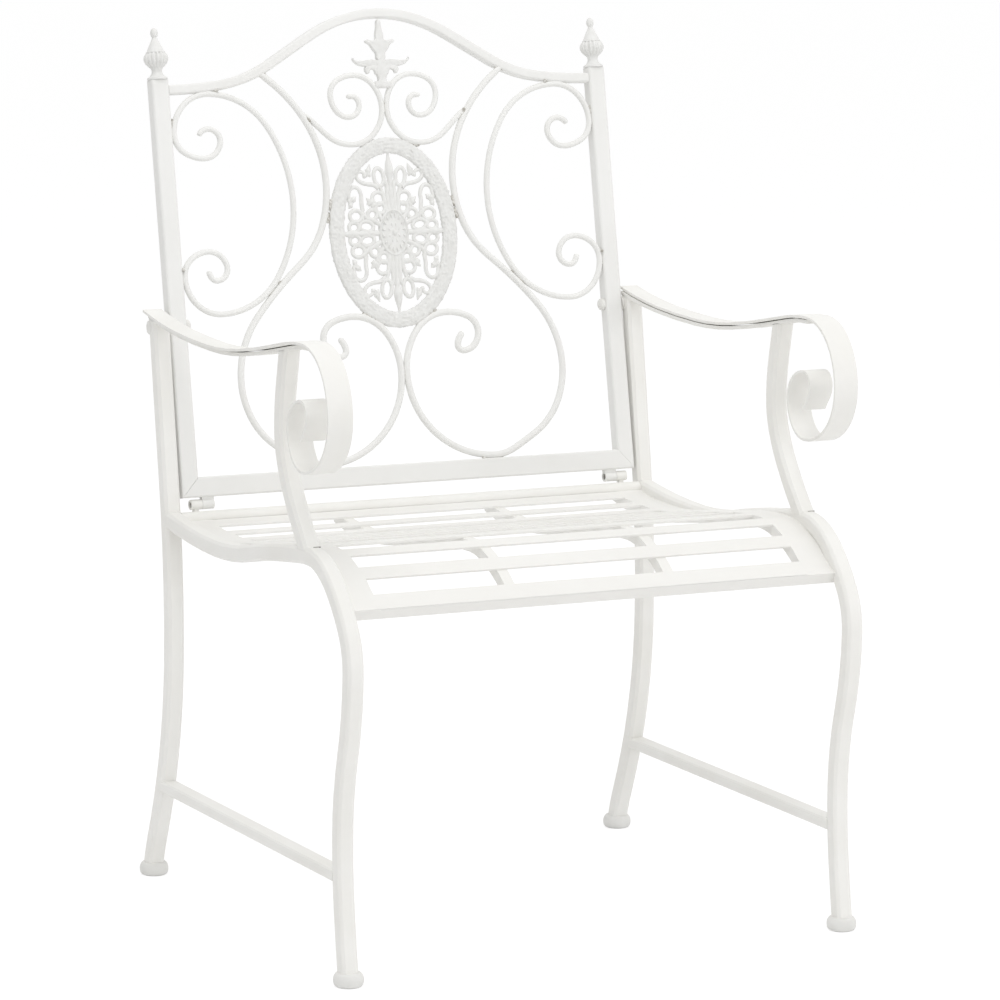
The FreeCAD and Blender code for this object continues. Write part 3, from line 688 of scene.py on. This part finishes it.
# One quarter of the filigree, about the middle of the ring. A loop is its middle, its two
# half sizes and its turn in degrees.
filigree = {
    "loops": [(12.8, 60.5, 5.6, 9.8, -8), (15.2, 37.4, 7.2, 6.6, 20), (13.6, 26.6, 5.4, 5.4, 0),
              (43.2, 19, 7.2, 6.2, 0), (31.4, 7.6, 8, 5.6, 10), (46.4, 7, 5.8, 5.2, 0),
              (23.8, 20, 5.2, 5.6, 45)],
    "loopWidth": 4.9,
    "stems": [[(3.6, 22), (4.2, 40), (5, 54), (8, 58)],
              [(7, 21), (8.6, 38), (12.4, 51.4)],
              [(12, 14), (18, 22), (24, 31.5)],
              [(14, 9), (24, 14), (33, 19), (36, 27)],
              [(22.4, 29.4), (18.6, 33.2)]],
    "stemWidth": 5.6,
    "scrolls": [[(14.2, 48.6), (20, 52.2), (27, 53.2), (35.6, 56.4), (39.2, 62), (36.8, 66.6),
                 (32.6, 66.6), (29.6, 64.2)],
                [(34.6, 24), (35.6, 34), (35.6, 43.6), (40.2, 50), (46.8, 49), (49.8, 42),
                 (49.4, 34.4), (46.4, 32.8)]],
    "scrollWidth": 4.9,
    "leaves": [[(28.6, 63.6, 0.5), (25.4, 66.6, 1.5), (22.4, 74.6, 0.25)],
               [(29, 64.6, 0.5), (25, 63.8, 1.4), (22.6, 60.6, 0.25)],
               [(30, 65, 0.5), (29.6, 62, 1.2), (31.4, 59.8, 0.25)],
               [(46.6, 33, 0.5), (45, 37, 1.5), (41.4, 40, 0.25)],
               [(46.8, 33, 0.5), (48.8, 36.4, 1.2), (48.4, 39.6, 0.25)],
               [(47, 34, 0.5), (48.6, 30.6, 1.3), (51, 27.6, 0.25)],
               [(20, 30, 0.5), (24.6, 33.4, 1.7), (29.6, 38, 0.25)],
               [(22, 31, 0.6), (26.6, 32, 1.3), (29.4, 31.6, 0.25)],
               [(21.6, 32, 0.6), (22.6, 36.6, 1.3), (22, 39.6, 0.25)],
               [(40, 12.4, 0.6), (44, 12.4, 1.3), (48.4, 12.6, 0.3)]],
    "leafWidth": 5.2, "leafFlat": 0.7,
    "spikes": [[(0, 22, 1.1), (0, 50, 0.9), (0, 58, 1.0), (0, 66, 1.6), (0, 74, 1.3),
                (0, 82, 0.6), (0, 88.5, 0.3)],
               [(14, 0, 1.0), (30, 0, 0.9), (38, 0, 1.2), (42, 0, 0.9), (50, 0, 1.6),
                (56, 0, 0.9), (61.5, 0, 0.5)]],
    "spikeWidth": 6.6, "spikeFlat": 0.75}


def drawQuarter():
    strips = []
    for loop in filigree["loops"]:
        strips.append(strip("loop", loopPoints(*loop), filigree["loopWidth"], closedLine=True))
    for points in filigree["stems"]:
        strips.append(strip("stem", points, filigree["stemWidth"], castWork["taper"]))
    for points in filigree["scrolls"]:
        strips.append(strip("scroll", points, filigree["scrollWidth"], castWork["taper"]))
    for points in filigree["leaves"]:
        strips.append(strip("leaf", points, filigree["leafWidth"], flatten=filigree["leafFlat"]))
    return joined(strips, "quarter")


def drawSpikes():
    width, flat = filigree["spikeWidth"], filigree["spikeFlat"]
    spikes = [strip("spike", points, width, flatten=flat) for points in filigree["spikes"]]
    return joined(spikes, "spikes")


def inAllQuarters(piece):
    quarters = piece.modifiers.new("quarters", "MIRROR")
    quarters.use_axis = (True, True, False)
    quarters.use_mirror_merge = False
    applyModifiers(piece)
    facesOut(piece)
    return piece


# The boss is turned round and then drawn out to its oval. Sizes are in mm, and a row of
# petals is (count, distance from the middle, length, width).
boss = {"halfWidth": 17.3, "halfHeight": 26, "turnedRadius": 25, "around": 48,
        "profile": [(24.4, -2.6), (25, -2), (25, 1.2), (24.6, 2.4), (23.6, 3), (22.6, 2.8),
                    (22, 2), (21, 1.6), (14, 2.4), (6, 2.9), (1, 3)],
        "petals": [(16, 17.6, 5.6, 2.5), (8, 8.6, 5.4, 3.0)],
        "petalHeight": 2.2, "petalLevel": 2.3, "petalSwell": (1, 1.25, 1.2),
        "bead": [(3.4, 2.4), (3.4, 3.4), (2.72, 4.2), (1, 4.7)], "beadAround": 16}


def drawPetal(length, width):
    petal = added(bpy.ops.mesh.primitive_uv_sphere_add, radius=mm, **ballSteps)
    petal.scale = (length / 2, width / 2, boss["petalHeight"] / 2)
    settle(petal)
    pick(petal, lambda vertex: vertex.co.x > 0)
    bpy.ops.transform.resize(value=boss["petalSwell"], center_override=(0, 0, 0))
    leaveEdit()
    return petal


def drawBoss():
    parts = [turnedPiece("boss", boss["profile"], boss["around"])]
    for count, distance, length, width in boss["petals"]:
        for k in range(count):
            angle = 2 * math.pi * (k + 0.5) / count
            x, y = distance * math.cos(angle), distance * math.sin(angle)
            place = (x * mm, y * mm, boss["petalLevel"] * mm)
            parts.append(put(drawPetal(length, width), place, (0, 0, angle)))
    parts.append(turnedPiece("bead", boss["bead"], boss["beadAround"]))
    whole = joined(parts, "boss")
    radius = boss["turnedRadius"]
    whole.scale = (boss["halfWidth"] / radius, boss["halfHeight"] / radius, 1)
    settle(whole)
    return whole


rosetteParts = [inAllQuarters(drawQuarter()), inAllQuarters(drawSpikes()), drawBoss()]
rosette = joined(rosetteParts, "rosette_cast")
smooth(rosette, castWork["smoothBelow"])
finished(put(rosette, ringMiddle, onBack), "back", castPaint, "medallion_rosette")
print("rosette cast")


# The fleur under the crest, in mm. A plate is its thickness and half of its outline, about
# the middle of the collar's foot. The collar is its width, height and depth.
fleur = {
    "foot": 428.1, "depth": 4, "plateEdge": 1.1, "collar": (19.2, 7.4, 8.0), "collarEdge": 1.6,
    "spear": (6.0, [(4.5, 31), (5.6, 38), (8.3, 41), (12.2, 47), (17.2, 51.4), (5.4, 52.4),
                    (4.6, 58), (2.8, 66), (1, 74.2)]),
    "wings": (4.8, [(0, 24.2), (8.4, 24.4), (22, 23.8), (31, 27.8), (33.4, 33.2), (30.6, 30.6),
                    (25, 30), (12, 31.2), (0, 30)]),
    "barbs": (5.4, [(3.5, 18), (6.4, 14.5), (9.4, 19.6), (13.6, 19.4), (16.4, 15.6),
                    (18.8, 17.2), (19.6, 22.4), (14, 24.6), (3.5, 25)]),
    "stem": (6.6, [(4.6, 6), (4.4, 10), (6.2, 16), (5.6, 24), (4.4, 30)])}


def cutPlate(name, thick, half):
    # the outline goes up one side and down the other, and the edges are rounded
    edge = fleur["plateEdge"]
    outline = half + [(-x, y) for x, y in reversed(half) if x > 0]
    plate = smoothLine(name, outline, castWork["plateSteps"], True)
    plate.data.dimensions = "2D"
    plate.data.fill_mode = "BOTH"
    plate.data.extrude = (thick / 2 - edge) * mm
    plate.data.bevel_depth = edge * mm
    plate.data.bevel_resolution = castWork["plateRound"]
    plate.data.offset = -edge * mm
    bpy.ops.object.convert(target="MESH")
    made = bpy.context.object
    facesOut(made)
    return made


def drawCollar():
    wide, tall, deep = fleur["collar"]
    collar = added(bpy.ops.mesh.primitive_cube_add, size=1, location=(0, tall / 2 * mm, 0))
    collar.scale = (wide * mm, tall * mm, deep * mm)
    settle(collar)
    bevelEdges(collar, fleur["collarEdge"] * mm, barEdges["rollFrom"], segments=3)
    return collar


fleurParts = [cutPlate(name, *fleur[name]) for name in ("spear", "wings", "barbs", "stem")]
fleurCast = joined(fleurParts + [drawCollar()], "fleur_cast")
smooth(fleurCast, castWork["smoothBelow"])
fleurFoot = backPoint(0, fleur["foot"] * mm, fleur["depth"] * mm)
finished(put(fleurCast, fleurFoot, onBack), "back", castPaint, "fleur")
print("fleur cast")


# Welds: a short row of ripples wherever a rod touches its neighbour, with dark patches of
# painted shade for the gaps that the paint hasn't filled.
weld = {"reach": 1.5 * mm, "radius": 1.7 * mm, "ripples": 5, "step": 2.1 * mm,
        "swell": (0.95, 1.15), "apart": 16 * mm, "longFrom": 1 * mm, "ringReach": 3.2 * mm,
        "ringRadius": 2.3 * mm, "crestRadius": 2.7 * mm, "smoothBelow": 60}


def touches(rod, other, reach):
    # the places where one comes near the other, as groups of points
    groups = []
    for vertex in rod.data.vertices:
        found, near = other.closest_point_on_mesh(vertex.co, distance=reach)[:2]
        if not found:
            continue
        spot = (vertex.co + near) / 2
        home = next((group for group in groups if (group[0] - spot).length < weld["apart"]), None)
        if home:
            home.append(spot)
        else:
            groups.append([spot])
    return groups


def drawWeld(group, thick):
    middle = sum(group, Vector()) / len(group)
    far = max(group, key=lambda spot: (spot - middle).length) - middle
    along = far.normalized() if far.length > weld["longFrom"] else Vector((1, 0, 0))
    ripples = []
    for k in range(weld["ripples"]):
        offset = (k - (weld["ripples"] - 1) / 2) * weld["step"]
        ripple = added(bpy.ops.mesh.primitive_uv_sphere_add, radius=thick * weld["swell"][k % 2],
                       location=middle + along * offset, **ballSteps)
        settle(ripple)
        ripples.append(ripple)
    return joined(ripples, "weld")


rodNames = [side + kind for kind in rods for side in sideNames]
railNames = ["medallion_ring", "back_bottom_rail", "back_top_rail", "left_back_post",
             "right_back_post"]
welds = []
for index, name in enumerate(rodNames):
    for other in rodNames[index + 1:] + railNames:
        reach, thick = weld["reach"], weld["radius"]
        if "lyre" in name and other == "medallion_ring":
            reach, thick = weld["ringReach"], weld["ringRadius"]
        elif "lyre" in name and "crest" in other:
            thick = weld["crestRadius"]
        for group in touches(shownPiece[name], shownPiece[other], reach):
            welds.append(drawWeld(group, thick))
weldRow = joined(welds, "back_welds")
smooth(weldRow, weld["smoothBelow"])
# the weld paint's dark patches are painted shade of the joint gaps
finished(weldRow, "back", weldPaintAndShade)
print("welds drawn:", len(welds))


# A dark strip on the front of each arm post's foot, over one half of its width: painted
# shade for the shadowed line where the post meets the rail.
footShadeLine = {"wide": 8 * mm, "tall": 0.9 * mm, "deep": 1.4 * mm, "inset": 1 * mm, "edge": 0.2 * mm,
            "footHeight": 8 * mm}


def drawFootShadeLine(node):
    low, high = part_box(node)
    footTop = low.z + footShadeLine["footHeight"]
    foot = [vertex.co for vertex in nodes[node].data.vertices if vertex.co.z < footTop]
    toe = min(foot, key=lambda spot: spot.y)
    shadeLine = added(bpy.ops.mesh.primitive_cube_add, size=1)
    shadeLine.scale = (footShadeLine["wide"], footShadeLine["deep"], footShadeLine["tall"])
    return put(shadeLine, (high.x - footShadeLine["wide"] / 2 - footShadeLine["inset"], toe.y, toe.z))


shadeLines = joined([drawFootShadeLine(side + "arm_post") for side in sideNames], "foot_shade_lines")
rollEdges(shadeLines, footShadeLine["edge"])
# the dark pin colour here is painted shade
finished(shadeLines, "frame", pinAndShadePaint)
print("foot seams drawn")


# Studio: a pale floor, an even sky, and soft lamps above, on both sides, behind and in
# front. A lamp is its place, what it points at, its size and its watts.
studio = {"floorSize": 60, "floorGrid": 8, "floor": (0.93, 0.93, 0.93), "floorRough": 0.9,
          "floorSpecular": 0.1, "floorShare": 0.62, "floorGlow": 1.2, "sky": 0.70,
          "lamps": [((-0.8, -0.8, 3.9), (0, 0, 0.5), 2.0, 36),
                    ((-2.6, -2.4, 2.6), (0, 0, 0.5), 2.4, 3),
                    ((2.8, -1.2, 2.4), (0, 0, 0.5), 2.2, 14),
                    ((0.4, 2.6, 3.0), (0, 0, 0.6), 2.4, 8),
                    ((1.4, -4.0, 1.5), (0, 0, 0.4), 2.0, 20)]}
white = (1, 1, 1, 1)


def seenRays(made, wire):
    # 1 where the camera looks, straight or by a reflection or through glass
    path = made.new("ShaderNodeLightPath")
    first, both = mathNode(made, "ADD"), mathNode(made, "ADD")
    first.use_clamp = both.use_clamp = True
    wire.new(path.outputs["Is Camera Ray"], first.inputs[0])
    wire.new(path.outputs["Is Glossy Ray"], first.inputs[1])
    wire.new(first.outputs[0], both.inputs[0])
    wire.new(path.outputs["Is Transmission Ray"], both.inputs[1])
    return both.outputs[0]


def buildFloor():
    floor = added(bpy.ops.mesh.primitive_grid_add, x_subdivisions=studio["floorGrid"],
                  y_subdivisions=studio["floorGrid"], size=studio["floorSize"])
    floor.name = "floor"
    material = bpy.data.materials.new("floor")
    material.use_nodes = True
    made, wire = material.node_tree.nodes, material.node_tree.links
    matt = made["Principled BSDF"]
    matt.inputs["Base Color"].default_value = (*studio["floor"], 1)
    matt.inputs["Roughness"].default_value = studio["floorRough"]
    matt.inputs["Specular IOR Level"].default_value = studio["floorSpecular"]
    glow = made.new("ShaderNodeEmission")
    glow.inputs["Color"].default_value = white
    glow.inputs["Strength"].default_value = studio["floorGlow"]
    share = mathNode(made, "MULTIPLY")
    share.inputs[1].default_value = studio["floorShare"]
    mix = made.new("ShaderNodeMixShader")
    wire.new(seenRays(made, wire), share.inputs[0])
    wire.new(share.outputs[0], mix.inputs[0])
    wire.new(matt.outputs[0], mix.inputs[1])
    wire.new(glow.outputs[0], mix.inputs[2])
    wire.new(mix.outputs[0], made["Material Output"].inputs["Surface"])
    floor.data.materials.append(material)


def buildSky():
    world = bpy.data.worlds.new("studio")
    bpy.context.scene.world = world
    world.use_nodes = True
    made, wire = world.node_tree.nodes, world.node_tree.links
    sky = made["Background"]
    sky.inputs["Color"].default_value = white
    sky.inputs["Strength"].default_value = studio["sky"]
    backdrop = made.new("ShaderNodeBackground")
    backdrop.inputs["Color"].default_value = white
    backdrop.inputs["Strength"].default_value = 1
    mix = made.new("ShaderNodeMixShader")
    wire.new(seenRays(made, wire), mix.inputs[0])
    wire.new(sky.outputs[0], mix.inputs[1])
    wire.new(backdrop.outputs[0], mix.inputs[2])
    wire.new(mix.outputs[0], made["World Output"].inputs["Surface"])


def hangLamp(place, target, size, watts):
    lamp = added(bpy.ops.object.light_add, type="AREA", location=place)
    lamp.data.size = size
    lamp.data.energy = watts
    aim = Vector(target) - Vector(place)
    lamp.rotation_euler = aim.to_track_quat("-Z", "Y").to_euler()


buildFloor()
buildSky()
for lamp in studio["lamps"]:
    hangLamp(*lamp)
print("studio lit")


# Camera: the photograph's own stand point, lens and slight roll. Angles are in degrees.
view = {"place": (-2.307, -4.6915, 1.3125), "azimuth": 26.35, "drop": 9.62, "roll": 0.74,
        "lens": 182.1, "sensor": 36, "clipEnd": 200}


def aimCamera():
    camera = added(bpy.ops.object.camera_add, location=view["place"])
    camera.data.lens = view["lens"]
    camera.data.sensor_width = view["sensor"]
    camera.data.clip_end = view["clipEnd"]
    heading = Matrix.Rotation(-math.radians(view["azimuth"]), 4, "Z")
    tilt = Matrix.Rotation(math.radians(90 - view["drop"]), 4, "X")
    roll = Matrix.Rotation(math.radians(view["roll"]), 4, "Z")
    camera.rotation_euler = (heading @ tilt @ roll).to_euler()
    bpy.context.scene.camera = camera


aimCamera()
bpy.context.scene.view_settings.view_transform = "Standard"
print("camera set")
